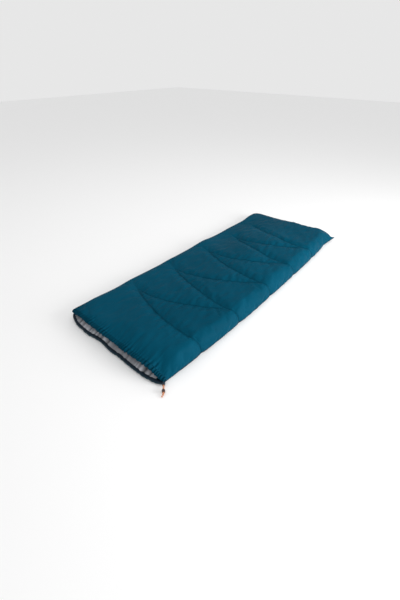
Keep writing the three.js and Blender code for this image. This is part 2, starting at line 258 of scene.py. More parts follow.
def camera():
    data = bpy.data.cameras.new("camera")
    data.sensor_width = 36
    data.lens = CAMERA_LENS
    cam = bpy.data.objects.new("camera", data)
    bpy.context.scene.collection.objects.link(cam)
    cam.location = CAMERA_PLACE
    azimuth, down = math.radians(CAMERA_AZIMUTH), math.radians(CAMERA_DOWN)
    level = math.cos(down)
    look = Vector((level * math.cos(azimuth), level * math.sin(azimuth), -math.sin(down)))
    cam.rotation_euler = look.to_track_quat("-Z", "Y").to_euler()
    bpy.context.scene.camera = cam


# ---------------- drawcord strands
EXIT = Vector((HEAD_X - 0.008, FOLD_Y - 0.003, 0.0105))
AWAY = Vector((-1, -1, 0)).normalized()
CORD_DIAMETER = 0.004
STRAND_SPACING = 0.0044
# The route runs straight out through the exit, at these distances, and then bends.
STRAIGHT = [-0.011, -0.004, 0.004, 0.012, 0.020, 0.028, 0.036, 0.040]
TAIL = [(-0.0033, -0.0026, -0.0007), (-0.0072, -0.0048, -0.0024), (-0.0112, -0.0061, -0.0044)]


def strand_path(side):
    """One strand's route: the middle line, moved half the strands' spacing to its side."""
    middle = [EXIT + AWAY * distance for distance in STRAIGHT]
    middle += [middle[-1] + Vector(offset) for offset in TAIL]
    moved = []
    for i, point in enumerate(middle):
        before, after = middle[max(i - 1, 0)], middle[min(i + 1, len(middle) - 1)]
        across = Vector((before.y - after.y, after.x - before.x, 0)).normalized()
        moved.append(point + across * (side * STRAND_SPACING / 2))
    return moved


def resample(points, count):
    """Points evenly spaced on a Catmull-Rom curve through the given ones."""
    p = np.array([tuple(q) for q in points])
    padded = np.vstack([2 * p[0] - p[1], p, 2 * p[-1] - p[-2]])
    dense = []
    for i in range(1, len(padded) - 2):
        for t in np.linspace(0, 1, 16, endpoint=False):
            a, b, c, d = padded[i - 1], padded[i], padded[i + 1], padded[i + 2]
            dense.append(0.5 * (2 * b + (c - a) * t + (2 * a - 5 * b + 4 * c - d) * t ** 2
                                + (3 * b - a - 3 * c + d) * t ** 3))
    dense = np.array(dense + [p[-1]])
    length = np.r_[0, np.cumsum(np.linalg.norm(np.diff(dense, axis=0), axis=1))]
    at = np.linspace(0, length[-1], count)
    return np.stack([np.interp(at, length, dense[:, k]) for k in range(3)], axis=1), length[-1]


def tube(name, path, radius, sides=12):
    """A tube along a path, closed at both ends."""
    direction = np.gradient(path, axis=0)
    direction /= np.linalg.norm(direction, axis=1, keepdims=True)
    side = np.cross(direction[0], [0, 0, 1.0])
    if np.linalg.norm(side) < 1e-6:
        side = np.array([1.0, 0, 0])
    rings = []
    along = np.r_[0, np.cumsum(np.linalg.norm(np.diff(path, axis=0), axis=1))]
    around = 2 * math.pi * np.arange(sides) / sides
    for point, d in zip(path, direction):
        side = side - d * (side @ d)
        side /= np.linalg.norm(side)
        up = np.cross(side, d)
        rings.append(point + radius * (np.cos(around)[:, None] * side + np.sin(around)[:, None] * up))
    table = {"along": np.repeat(along, sides), "around": np.tile(around, len(path))}
    return closed_band(name, rings, table)


def strands():
    made = []
    for letter, side in (("a", -1), ("b", 1)):
        path, length = resample(strand_path(side), 36)
        cord = tube(f"cord_strand_{letter}", path, CORD_DIAMETER / 2)
        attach(cord, "lower")
        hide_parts(f"drawcord_strand_{letter}")
        made.append((cord, path, length))
    return made


# ---------------- quilting pattern
# The zigzag runs from the bottom of the fold side's wall to the apexes, past the middle
# of the bag. Its places are in cloth coordinates: x, and v across, which is y on the top
# and follows the cloth down the rolled wall.
NEAR_ENDS = (0.26, 0.575, 0.91, 1.225, 1.53)  # from the mouth, at the wall's foot
SHOULDERS = (0.240, 0.545, 0.885, 1.190, 1.470)  # and where the top rolls over
APEXES = ((0.370, 0.235), (0.685, 0.220), (1.015, 0.212), (1.345, 0.200), (1.615, 0.195))
SHOULDER_V = -0.30
LEG_BOW, BRANCH_BOW = 0.033, 0.066  # how far the seams curve towards the mouth
LEG_PULL, BRANCH_PULL = 1.0, 0.85  # how deep they pull the cloth in
CURVE_POINTS = 7
STEM_LENGTH, STEM_LEAN = 0.07, 0.015  # the tuck that fades out beyond each apex
ROLL = 0.075  # how far in the fold side starts to roll over
ROLL_ARC = 0.125  # and the cloth that the roll takes
WALL_FOOT_V = FOLD_Y + ROLL - ROLL_ARC


def zigzag(near_v):
    """The seams, as straight pieces: start, end, the pull at each end, and the length of
    seam before the piece."""
    pieces = []
    for k, (from_head, apex_v) in enumerate(APEXES):
        apex_x = HEAD_X + from_head
        for end, bow, pull in ((k, LEG_BOW, LEG_PULL), (k + 1, BRANCH_BOW, BRANCH_PULL)):
            if end == len(NEAR_ENDS):
                continue
            t = np.linspace(0, 1, CURVE_POINTS)
            x = lerp(apex_x, HEAD_X + SHOULDERS[end], t) - bow * 4 * t * (1 - t)
            v = lerp(apex_v, SHOULDER_V, t)
            points = [*zip(x, v), (HEAD_X + NEAR_ENDS[end], near_v)]
            before = 0.0
            for start, stop in zip(points, points[1:]):
                pieces.append((start, stop, pull, pull, before))
                before += math.dist(start, stop)
        far_end = (apex_x + STEM_LEAN, apex_v + STEM_LENGTH)
        pieces.append((far_end, (apex_x, apex_v), 0.0, 1.0, 0.0))
    return pieces


def quilting(x, v, near_v=WALL_FOOT_V, width=0.058):
    """How deep the stitching pulls the cloth in, 0 to 1, the distance to the nearest seam
    and the place along it."""
    depth = np.zeros(x.shape)
    nearest = np.full(x.shape, 1.0)
    place = np.zeros(x.shape)
    for (ax, av), (bx, bv), start_pull, end_pull, before in zigzag(near_v):
        dx, dv = bx - ax, bv - av
        length = math.hypot(dx, dv)
        t = np.clip(((x - ax) * dx + (v - av) * dv) / length ** 2, 0, 1)
        distance = np.hypot(x - ax - t * dx, v - av - t * dv)
        pillow = np.sqrt(1 - (1 - np.clip(distance / width, 0, 1)) ** 2)
        depth = np.maximum(depth, lerp(start_pull, end_pull, t) * (1 - pillow))
        if start_pull > 0:
            closer = distance < nearest
            nearest = np.where(closer, distance, nearest)
            place = np.where(closer, before + t * length, place)
    return depth, nearest, place


def snap_to_seams(x, v, reach, near_v=WALL_FOOT_V):
    """Moves grid points that are close to a seam onto it, along x."""
    moved = x.copy()
    for (ax, av), (bx, bv), start_pull, _, _ in zigzag(near_v):
        if start_pull == 0:
            continue
        inside = (v >= min(av, bv)) & (v <= max(av, bv))
        seam_x = ax + (bx - ax) * (v - av) / (bv - av)
        close = inside & (np.abs(x - seam_x) < reach)
        moved = np.where(close, seam_x, moved)
    return moved


# ---------------- outline
def casing_front(y):
    """Front edge of the upper half's mouth, a shallow bow."""
    return HEAD_X - UPPER_BULGE * (1 - np.abs(y / HALF_WIDTH) ** 4)


def hem_front(y):
    """Front edge of the lower half's mouth: nearly straight, with a shallow notch."""
    notch = 0.010 * np.exp(-((y - 0.075) / 0.060) ** 2)
    notch = notch + 0.004 * np.exp(-((y + 0.06) / 0.12) ** 2)
    return HEAD_X - LOWER_BULGE * (1 - np.abs(y / HALF_WIDTH) ** 8) + notch


# How far the fold side lies off its straight line, at distances from the mouth: the empty
# bag spreads a little over its first half and draws in towards the foot.
SWAY = ((0, 0.010), (0.15, 0.001), (0.40, -0.009), (0.70, -0.014), (1.0, -0.009),
        (1.3, -0.003), (1.55, 0.006), (1.70, 0.015), (1.80, 0.030), (1.86, 0.017), (1.905, -0.010))
EAR_REACH = 0.034  # the point at the foot's fold corner
EAR_Z = 0.025

# How far the zip side draws in between the places where its two sliders are parked.
ZIP_WAVES = ((0, 0), (0.11, 0), (0.17, 0.001), (0.26, 0.009), (0.33, 0.010), (0.41, 0.003),
             (0.47, 0.007), (0.56, 0.010), (0.67, 0.014), (0.75, 0.008), (0.83, 0.012), (0.97, 0.011),
             (1.07, 0.004), (1.15, 0.003), (1.22, 0.014), (1.32, 0.019), (1.45, 0.015), (1.63, 0.019),
             (1.70, 0.014), (1.77, 0), (1.90, 0))

# How much higher or lower the cloth stands beside the zip, at distances from the mouth.
ZIP_SIDE_LIFT = ((0, 0), (0.11, 0.007), (0.26, -0.003), (0.41, 0.006), (0.60, -0.004),
                 (0.79, 0.003), (0.95, -0.001), (1.14, 0.007), (1.24, -0.004), (1.60, -0.003),
                 (1.80, 0.002), (1.90, 0))


def along_bag(x, table):
    """The table's values at x, with its corners rounded off."""
    places, values = zip(*table)
    knots = np.array(places) + HEAD_X
    fine = np.linspace(knots[0], knots[-1], 200)
    window = 9  # of the fine places, each about 1 cm
    padded = np.pad(np.interp(fine, knots, values), window // 2, mode="edge")
    rounded = np.convolve(padded, np.full(window, 1 / window), "valid")
    return np.interp(x, fine, rounded)


def sideways(x, y):
    """How far the cloth lies off its straight place, across the bag."""
    near = along_bag(x, SWAY) * (1 - smooth((y - FOLD_Y) / 0.24))
    return near - along_bag(x, ZIP_WAVES) * smooth((y - RIM_Y + 0.14) / 0.14)


def ear(x, y, along=0.10, across=0.10):
    """1 at the foot's fold corner, where both halves run out to a point, falling to 0."""
    return (1 - smooth((RIM_X - x) / along)) * (1 - smooth((y - FOLD_Y) / across))


def ear_point(x, y):
    """How far the corner's point stands out past the foot edge."""
    return EAR_REACH * ear(x, y, along=0.080, across=0.026)


def stations(length, step, start_roll, end_roll):
    """Distances along a strip, closer together over its rolled end, and over its rolled
    start unless start_roll is 0."""
    arc = np.linspace(0, math.pi / 2, 9)
    start = start_roll * (1 - np.cos(arc)) if start_roll else np.zeros(1)
    middle = np.arange(start[-1] + step, length - end_roll - step / 2, step)
    return np.r_[start, middle, length - end_roll * (1 - np.sin(arc))]


def round_corner(x, y, radius):
    """Pulls the foot corner on the zip side in to a round. Returns the new place and how
    far it is into the rolled rim, from 0 to 1 at the rim itself."""
    p = np.clip(1 - (RIM_X - x) / radius, 0, 1)
    q = np.clip(1 - (RIM_Y - y) / radius, 0, 1)
    rounded_p = p * np.sqrt(1 - q * q / 2)
    rounded_q = q * np.sqrt(1 - p * p / 2)
    new_x = np.where(p > 0, RIM_X - radius + radius * rounded_p, x)
    new_y = np.where(q > 0, RIM_Y - radius + radius * rounded_q, y)
    return new_x, new_y, np.hypot(rounded_p, rounded_q)


# ---------------- ruffles of the mouth
RUFFLE_PITCH = 0.017
RUFFLE_HEIGHT = 0.0066  # on the top
CASING_RUFFLE = 0.0062  # and on the casing's upper side
CASING_AT_FOLD = (0.017, 0.033)  # the casing's underside and top at its two ends
CASING_AT_ZIP = (0.0305, 0.048)
ruffle_drift = Waves(0.05, 0.16)
ruffle_size = Waves(0.06, 0.25)


def ruffle(y):
    """Gathers across the mouth's edge, from -1 in a crease to 1 on a crest, or a bit more."""
    phase = math.pi * y / RUFFLE_PITCH + 0.9 * ruffle_drift(y)
    height = np.clip(0.9 + 0.35 * ruffle_size(y), 0.45, 1.5)
    return (2 * np.abs(np.sin(phase)) ** 0.7 - 1) * height


def casing_heights(y):
    """Underside and top of the upper mouth edge, which comes down at both ends."""
    rise = smooth((y - FOLD_Y - 0.005) / 0.10)
    fall = 1 - smooth((RIM_Y - y) / 0.09)
    low = lerp(CASING_AT_FOLD[0], CASING_LOW.z, rise)
    high = lerp(CASING_AT_FOLD[1], CASING_HIGH.z - 0.004, rise)
    return lerp(low, CASING_AT_ZIP[0], fall), lerp(high, CASING_AT_ZIP[1], fall)


def casing_middle(y):
    return sum(casing_heights(y)) / 2


# ---------------- quilted top
slow_swell = Waves(0.22, 0.5)
soft_creases = Waves(0.035, 0.09, 30)
fine_creases = Waves(0.012, 0.03, 40)


def top_level(x, y):
    """Height of the quilted top before the seams pull it in."""
    flat = TOP_Z - 0.004 - 0.029 * smooth((y + 0.12) / 0.46)
    flat = flat - 0.010 * smooth((x - 0.1) / 0.4) * smooth((y + 0.05) / 0.3)
    flat = flat - 0.005 * (1 - smooth((RIM_X - x) / 0.30))
    flat = flat + along_bag(x, ZIP_SIDE_LIFT) * smooth((y - 0.20) / 0.12)
    flat = flat + 0.0022 * slow_swell(x, y)
    from_head = x - casing_front(y) - CASING_DEPTH
    _, casing_top = casing_heights(y)
    level = lerp(casing_top, flat, smooth(from_head / 0.11) ** 0.75)
    to_ear = np.hypot(RIM_X - x, y - FOLD_Y)
    return lerp(EAR_Z + 0.004, level, smooth(to_ear / 0.13) ** 0.40)


TOP_THICKNESS = 0.0008
TOP_STEP = 0.0065  # size of the top's mesh before it is made finer
SEAM_PULL, WALL_SEAM_PULL = 0.0092, 0.008


def rolled_edge(wall):
    """A rounded quarter turn, as wall goes from 0 to 1: how far out, and how high."""
    angle = wall * math.pi / 2
    cosine, sine = np.cos(angle), np.sin(angle)
    out = squarer(cosine, sine)
    return sine * out, cosine * out


def quilted_top():
    v = stations(RIM_Y - WALL_FOOT_V, TOP_STEP, 0, 0.06) + WALL_FOOT_V
    wall = np.clip((FOLD_Y + ROLL - v) / ROLL_ARC, 0, 1)
    outwards, upwards = rolled_edge(wall)
    y = np.where(wall > 0, FOLD_Y + ROLL * (1 - outwards), v)
    drop = np.where(wall > 0, upwards, 1.0)
    length = RIM_X - HEAD_X
    along = stations(length, TOP_STEP, 0, 0.06) / length
    y = y[None, :] + 0 * along[:, None]
    v = v[None, :] + 0 * along[:, None]
    drop = drop[None, :] + 0 * y
    head = casing_front(y) + CASING_DEPTH
    x = head + (RIM_X - head) * along[:, None]
    x = snap_to_seams(x, v, TOP_STEP / 2)
    x, y, rim = round_corner(x, y, TOP_CORNER)
    from_head = x - head
    zip_edge = lerp(0.0470, ZIP_RIM_Z, smooth(from_head / 0.08))
    fold_edge = lerp(0.0065, EAR_Z + 0.001, ear(x, FOLD_Y))
    edge = lerp(fold_edge, zip_edge, smooth((y - FOLD_Y) / 0.050))
    zip_side = np.sqrt(np.clip(1 - rim ** 2.2, 0, 1))
    z = edge + (top_level(x, y) - edge) * drop * zip_side
    y = y + sideways(x, y)
    base = np.stack([x + ear_point(x, y), y, z], axis=2)
    normal = grid_normals(base)
    depth, distance, place = quilting(x, v)
    on_wall = smooth((FOLD_Y + ROLL - v) / ROLL_ARC)
    near_rim = 1 - smooth(1 - rim)
    hold = smooth(from_head / 0.05) * (1 - near_rim)
    pull = depth * lerp(SEAM_PULL, WALL_SEAM_PULL, on_wall) * hold
    lift = 0.0008 * soft_creases(x * 0.7, v * 1.3) * hold - pull
    points = base + normal * lift[:, :, None]
    attributes = {"seam_far": distance, "seam_along": place, "from_head": from_head,
                  "cloth_v": v, "hold": hold, "on_wall": on_wall}
    obj = grid_object("quilt_top", points, flip=True, attributes=attributes)
    held = (distance < 0.0035) | (rim > 0.9) | (from_head < 0.008) | (v < WALL_FOOT_V + 0.006)
    held[-2:, :] = True
    settle(obj, held, pressure=2.0, extra_cloth=0.015, limit=0.006)
    subdivide(obj)
    crease_top(obj)
    thicken(obj, TOP_THICKNESS)
    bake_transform(obj)
    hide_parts("shell_upper", "insulation_upper")
    return obj


def crease_top(obj):
    """Puckers beside the seams and the gathers at the mouth, on the finer mesh."""
    points = coordinates(obj.data)
    x, y = points[:, 0], points[:, 1]
    names = ("seam_far", "from_head", "cloth_v", "hold", "on_wall")
    distance, from_head, v, hold, on_wall = (read_attribute(obj.data, name) for name in names)
    pucker = np.exp(-distance / 0.045) * (1 - np.exp(-distance / 0.006)) * hold
    lift = (0.0008 * soft_creases(x, v) + 0.0005 * fine_creases(x, v)) * pucker
    reach = 0.020 + 0.010 * np.clip(ruffle_size(y * 3), -1, 1.5)
    lift = lift + ruffle(y) * RUFFLE_HEIGHT * np.exp(-from_head / reach) * (1 - on_wall)
    set_coordinates(obj.data, points + point_normals(obj.data) * lift[:, None])


# ---------------- underside
LINING_THICKNESS = 0.0006  # of the underside and the linings
BOTTOM_STEP = 0.011
PIPING_RADIUS = 0.0023


def wall_foot_pull(x):
    """How far the seams pull the foot of the fold side's wall in, and the piping with it."""
    depth, _, _ = quilting(x, np.full(np.shape(x), WALL_FOOT_V))
    return 0.006 * depth


def quilted_bottom():
    width = RIM_Y - FOLD_Y
    length = RIM_X - HEAD_X
    across = np.r_[stations(width, BOTTOM_STEP, 0, CORNER), width - 0.006]
    along = np.r_[stations(length, BOTTOM_STEP, 0, CORNER), length - 0.006] / length
    y = FOLD_Y + 0.0015 + across[None, :] * (width - 0.0015) / width + 0 * along[:, None]
    head = hem_front(y) + HEM_DEPTH - 0.004
    x = head + (RIM_X - head) * along[:, None]
    near = np.clip((y - FOLD_Y) / 0.02, 0, 1)
    y = y + wall_foot_pull(x) * (1 - near)
    x, y, rim = round_corner(x, y, CORNER)
    depth, distance, place = quilting(x, y, near_v=FOLD_Y)
    flat = 0.0012 + 0.004 * depth * smooth((x - head) / 0.05)
    flat = flat + 0.0048 * (1 - near) ** 2
    tuck = np.sqrt(np.clip(1 - np.clip(rim, 0, 1) ** 2, 0, 1))
    flat = flat + (EAR_Z - 0.008) * ear(x, y, 0.08, 0.08)
    rim_z = lerp(EAR_Z, LOWER_TOP, smooth((y - FOLD_Y - 0.004) / 0.045))
    z = lerp(rim_z - 0.0005, flat, tuck)
    z = z + 0.0008 * soft_creases(x, y) * smooth(rim / 0.6) * tuck
    z[:, -1] = rim_z[:, -1] + 0.0005
    z[-1, :] = rim_z[-1, :] + 0.0005
    shifted = y + sideways(x, y)
    points = np.stack([x + ear_point(x, shifted), shifted, np.maximum(z, 0.0006)], axis=2)
    obj = grid_object("quilt_bottom", points, attributes={"seam_far": distance, "seam_along": place})
    thicken(obj, LINING_THICKNESS)
    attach(obj, "lower")
    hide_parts("shell_lower", "insulation_lower")
    return obj


def side_piping():
    x = np.linspace(HEAD_X + 0.012, RIM_X - 0.004, 400)
    y = FOLD_Y + 0.0026 + wall_foot_pull(x) + sideways(x, FOLD_Y)
    wander = 0.0004 * soft_creases(x, 0.3)
    height = PIPING_RADIUS + 0.0004 + (EAR_Z - 0.006) * ear(x, FOLD_Y, 0.08)
    path = np.stack([x + ear_point(x, y), y + wander, height], axis=1)
    obj = tube("fold_piping", path, PIPING_RADIUS, sides=8)
    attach(obj, "lower")
    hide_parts("fold_side_piping")
    return obj


# ---------------- linings
fold_drift = Waves(0.05, 0.14)
fold_size = Waves(0.08, 0.3)
LINING_FOLD_PITCH = 0.040
LINING_FOLD_HEIGHT = 0.0105
LINING_EDGE = FOLD_Y + 0.036  # where the flat linings end, inside the rolled wall
LINING_INSET = 0.003
LINING_STEP = 0.0075
LINING_PUFF = 0.0052


def lining_folds(y):
    """Folds in the linings at the mouth, about -1 in a hollow and 1 on a crest."""
    phase = math.pi * y / LINING_FOLD_PITCH + 1.3 * fold_drift(y)
    return (2 * np.abs(np.sin(phase)) ** 0.6 - 1) * np.clip(0.8 + 0.4 * fold_size(y), 0.2, 1.5)


NO_CEILING = 1.0
LINING_FLOOR = 0.003


class Inside:
    """Keeps the linings between the quilted top and the underside."""

    def __init__(self, top):
        graph = bpy.context.evaluated_depsgraph_get()
        self.tree = BVHTree.FromObject(top, graph)

    def ceiling(self, x, y, room, casing_room):
        """The highest place for a lining, with room under the top or under the casing."""
        from_edge = x - casing_front(y)
        if from_edge < -0.002:
            return NO_CEILING
        if from_edge < CASING_DEPTH + 0.003:
            return casing_heights(y)[0] - casing_room
        hit = self.tree.ray_cast(Vector((x, y, 1)), Vector((0, 0, -1)))[0]
        return hit.z - room if hit else NO_CEILING

    def keep(self, points, room, casing_room):
        for point in points.reshape(-1, 3):
            ceiling = self.ceiling(point[0], point[1], room, casing_room)
            point[2] = max(min(point[2], ceiling), LINING_FLOOR)
        return points


def lining(side, inside):
    """side is -1 for the lower half's lining and +1 for the upper one's."""
    lower = side < 0
    width = RIM_Y - LINING_INSET - LINING_EDGE
    length = RIM_X - LINING_INSET - HEAD_X
    across = stations(width, LINING_STEP, 0, 0.05)
    along = stations(length, LINING_STEP, 0.04, 0.05) / length
    y = LINING_EDGE + across[None, :] + 0 * along[:, None]
    head = hem_front(y) + HEM_DEPTH - 0.006 if lower else casing_front(y) + CASING_DEPTH - 0.008
    x = head + (RIM_X - LINING_INSET - head) * along[:, None]
    x = snap_to_seams(x, y, LINING_STEP / 2, near_v=LINING_EDGE)
    x, y, rim = round_corner(x, y, LINING_CORNER)
    pull, distance, place = quilting(x, y, near_v=LINING_EDGE, width=0.06)
    from_head = x - head
    hold = smooth(from_head / 0.06) * smooth((y - LINING_EDGE) / 0.05) * (1 - smooth(rim))
    level = LOWER_TOP - 0.0012 if lower else UPPER_FLOOR + 0.0012
    puff = LINING_PUFF * (1 - pull) * hold - 0.001 * pull * hold
    pucker = np.exp(-distance / 0.035) * (1 - np.exp(-distance / 0.006)) * hold
    away = y + 3 * side  # so that the two linings don't crease alike
    creases = 0.0010 * soft_creases(x, away) * pucker + 0.0004 * fine_creases(x, away)
    z = level - side * puff + creases
    folds = lining_folds(y) * np.exp(-from_head / 0.07)
    if lower:
        drop = 1 - smooth(from_head / 0.06)
        z = z + (hem_height(y) - 0.001 - level) * drop
        z = z + LINING_FOLD_HEIGHT * folds * smooth(from_head / 0.012)
    else:
        casing_low, _ = casing_heights(y)
        z = z + (casing_low + 0.0035 - level) * (1 - smooth(from_head / 0.10)) + 0.0022 * folds
    points = np.stack([x, y + sideways(x, y), z], axis=2)
    points = inside.keep(points, 0.0055, 0.0015) if lower else inside.keep(points, 0.0030, -0.0035)
    which = "lower" if lower else "upper"
    # Painted shadow where the lining runs in under the casing: none at the mouth's edge, strongest
    # about 3 cm in, and fading further in. It goes into the fold attribute with the folds, for the
    # lining's material to paint as shade.
    shadow = 0.7 * smooth((from_head - 0.010) / 0.022) * np.exp(-from_head / 0.1)
    attributes = {"seam_far": distance, "seam_along": place, "fold": folds - shadow}
    obj = grid_object(f"lining_sheet_{which}", points, flip=lower, attributes=attributes)
    subdivide(obj)
    thicken(obj, LINING_THICKNESS)
    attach(obj, which)
    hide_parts(f"lining_{which}")
    return obj


def lining_turn(inside):
    """The lining where it turns round the fold side, from the lower half to the upper one."""
    inner, outer = LINING_EDGE + 0.014, FOLD_Y + 0.025
    section = np.array([
        (inner, LOWER_TOP - 0.0010),
        (outer + 0.010, LOWER_TOP),
        (outer + 0.003, LOWER_TOP + 0.0018),
        (outer + 0.0005, LOWER_TOP + 0.0045),
        (outer, CHAIN_Z),
        (outer + 0.0005, UPPER_FLOOR - 0.0045),
        (outer + 0.003, UPPER_FLOOR - 0.0018),
        (outer + 0.010, UPPER_FLOOR),
        (inner, UPPER_FLOOR + 0.0010),
    ])
    x = np.linspace(HEAD_X + 0.045, RIM_X - 0.015, 240)
    points = np.zeros((len(x), len(section), 3))
    points[:, :, 0] = x[:, None]
    points[:, :, 1] = section[None, :, 0] + 0.0006 * soft_creases(x, 1.0)[:, None]
    points[:, :, 1] += sideways(points[:, :, 0], points[:, :, 1])
    points[:, :, 2] = section[None, :, 1] + 0.0003 * fine_creases(x, 2.0)[:, None]
    obj = grid_object("lining_turn", inside.keep(points, 0.0060, 0.0))
    thicken(obj, LINING_THICKNESS, offset=0)
    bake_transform(obj)
    return obj


# ---------------- mouth edges
HEM_TOP = 0.0205
HEM_TOP_AT_FOLD = 0.0160
HEM_TOP_AT_ZIP = 0.0302
STITCH_ROWS = (0.24, 0.80)  # their places up the band's height, from 0 to 1
hem_wander = Waves(0.09, 0.22)
hem_ripple = Waves(0.016, 0.04, 20)


def hem_height(y):
    height = lerp(HEM_TOP_AT_FOLD, HEM_TOP, smooth((y - FOLD_Y) / 0.075))
    return lerp(height, HEM_TOP_AT_ZIP, smooth((y - RIM_Y + 0.11) / 0.11) ** 1.5)


def hem_middle(y):
    return hem_height(y) / 2


def band(y, front, low, high, depth, ripple, sides=28):
    """A soft closed band along the mouth. Its section is a rounded box between low and
    high, depth deep, with its front at x = front. Returns the points, and each one's place
    up the section and back from the front, from 0 to 1."""
    slope = np.gradient(front, y)
    inward = np.stack([np.ones_like(y), -slope], axis=1)
    inward /= np.linalg.norm(inward, axis=1, keepdims=True)
    angle = 2 * math.pi * np.arange(sides) / sides
    cosine, sine = np.cos(angle), np.sin(angle)
    out = squarer(cosine, sine)
    back = 0.5 - 0.5 * cosine * out
    height = 0.5 + 0.5 * sine * out
    groove = sum(np.exp(-((height - row) / 0.05) ** 2) for row in STITCH_ROWS)
    groove = groove * (back < 0.5)
    points = np.zeros((len(y), sides, 3))
    inwards = back[None, :] * depth + groove[None, :] * 0.0009
    inwards = inwards - ripple[:, None] * (1 - back[None, :]) * 0.0022
    points[:, :, 0] = front[:, None] + inward[:, 0:1] * inwards
    points[:, :, 1] = y[:, None] + inward[:, 1:2] * inwards
    points[:, :, 2] = low[:, None] + (high - low)[:, None] * height[None, :]
    return points, height, back


def mouth_hem():
    y = np.linspace(FOLD_Y + 0.004, RIM_Y - 0.003, 420)
    corner = smooth((y - FOLD_Y) / 0.05) * smooth((RIM_Y - y) / 0.05)
    front = hem_front(y) + 0.0012 * hem_wander(y) * corner
    low = np.full(len(y), 0.0007)
    ripple = 0.3 * hem_ripple(y) * corner
    high = hem_height(y) + 0.0012 * ripple
    points, height, _ = band(y, front, low, high, HEM_DEPTH, ripple)
    obj = closed_band("mouth_hem", points, {"band_height": np.tile(height, len(y))})
    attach(obj, "lower")
    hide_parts("mouth_hem_lower")
    return obj


def mouth_casing():
    y = np.linspace(FOLD_Y + 0.007, RIM_Y - 0.002, 620)
    low, high = casing_heights(y)
    gather = ruffle(y)
    points, height, back = band(y, casing_front(y), low + 0.0003, high, CASING_DEPTH + 0.006, gather)
    rise = (height ** 2)[None, :]
    points[:, :, 2] += CASING_RUFFLE * gather[:, None] * rise
    points[:, :, 2] += 0.0035 * ruffle(y * 0.63 + 0.2)[:, None] * (1 - rise)
    points[:, :, 0] -= 0.0022 * gather[:, None] * (1 - back[None, :])
    obj = closed_band("mouth_casing", points, {"band_height": np.tile(height, len(y))})
    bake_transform(obj)
    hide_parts("mouth_casing_upper")
    return obj


def drawcord_run(which, front, bulge_depth, middle):
    """The drawcord inside one half's mouth edge."""
    _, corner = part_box(f"drawcord_run_{which}")
    y = np.linspace(-corner.y, corner.y, 160)
    path = np.stack([front(y) + bulge_depth, y, middle(y)], axis=1)
    obj = tube(f"cord_run_{which}", path, CORD_DIAMETER / 2)
    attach(obj, which)
    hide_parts(f"drawcord_run_{which}")
    return obj


# ---------------- zip
COIL_N = 0.0025  # middle of the coil, out from the rim
COIL_V = 0.00195  # middle of each row, off the chain's middle
COIL_PITCH = 0.0020
COIL_WIRE = 0.00038  # radius
COIL_DEPTH, COIL_RISE = 0.00072, 0.00095  # half a row's depth and height
STEPS_A_TURN = 6
TAPE_HALF = 0.0004  # half a tape's thickness
LOWER_TAPE_ROWS = (0.0310, 0.0375, 0.0440)
UPPER_TAPE_ROWS = (0.0460, 0.0500, ZIP_RIM_Z + 0.0008)


def zip_line(head_x, fold_y, out, step):
    """Points along the zip, from the head to the foot corner and on to its fold end, with
    the outward direction at each."""
    corner_x, corner_y = RIM_X - CORNER, RIM_Y - CORNER
    side = corner_x - head_x
    turn = (CORNER + out) * math.pi / 2
    foot = corner_y - fold_y
    s = np.arange(0, side + turn + foot, step)
    angle = np.clip((s - side) / turn, 0, 1) * math.pi / 2
    outward = np.stack([np.sin(angle), np.cos(angle)], axis=1)
    x = np.where(s < side, head_x + s, corner_x + (CORNER + out) * outward[:, 0])
    y = corner_y + (CORNER + out) * outward[:, 1] - np.clip(s - side - turn, 0, None)
    return x, y + sideways(x, y), outward, s


def zip_tape(which, heights):
    """A zip tape, as a thin band with rows of points at these heights. At the foot's fold
    corner it comes down with the corner itself."""
    low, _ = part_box(f"zip_tape_{which}")
    x, y, outward, _ = zip_line(low.x, low.y, 0.0007, 0.006)
    row = np.concatenate([heights, heights[::-1]])
    offsets = np.array([TAPE_HALF] * len(heights) + [-TAPE_HALF] * len(heights))
    upright = smooth((y - FOLD_Y - 0.004) / 0.042) * (x > 0) + 1.0 * (x <= 0)
    points = np.zeros((len(x), len(row), 3))
    points[:, :, 0] = x[:, None] + outward[:, 0:1] * offsets
    points[:, :, 1] = y[:, None] + outward[:, 1:2] * offsets
    lying = EAR_Z - 0.001 + 0.05 * (row - CHAIN_Z)
    points[:, :, 2] = lerp(lying[None, :], row[None, :], upright[:, None])
    obj = closed_band(f"tape_{which}", points)
    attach(obj, which)
    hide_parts(f"zip_tape_{which}")
    return obj


def zip_coil(which, side):
    """One row of the zip's coil. side is -1 for the lower row and +1 for the upper one."""
    low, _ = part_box(f"zip_coil_{which}")
    x, y, outward, s = zip_line(low.x, low.y, COIL_N, COIL_PITCH / STEPS_A_TURN)
    turn = 2 * math.pi * s / COIL_PITCH + (0 if side > 0 else math.pi)
    n = COIL_DEPTH * np.cos(turn)
    v = side * COIL_V + COIL_RISE * np.sin(turn)
    path = np.stack([x + outward[:, 0] * n, y + outward[:, 1] * n, CHAIN_Z + v], axis=1)
    obj = tube(f"coil_{which}", path, COIL_WIRE, sides=5)
    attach(obj, which)
    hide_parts(f"zip_coil_{which}")
    return obj


# ---------------- cord end
SPRING_TURNS = 5
SPRING_WIRE = 0.0005  # radius
KNOT_CORD = 0.0017  # radius, pulled tight


def lock_spring():
    """The coil spring inside the cord lock. In the real lock it shortens as the button goes down;
    here it keeps one length.
    """
    low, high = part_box("cord_lock_spring")
    middle_x, middle_y = (low.x + high.x) / 2, (low.y + high.y) / 2
    radius = (high.x - low.x) / 2 - SPRING_WIRE
    share = np.linspace(0, 1, 150)
    turn = 2 * math.pi * SPRING_TURNS * share
    x = middle_x + radius * np.cos(turn)
    y = middle_y + radius * np.sin(turn)
    z = lerp(low.z + SPRING_WIRE, high.z - SPRING_WIRE, share)
    obj = tube("lock_spring", np.stack([x, y, z], axis=1), SPRING_WIRE, sides=6)
    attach(obj, "cord_lock")
    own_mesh(obj)
    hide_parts("cord_lock_spring")
    return obj


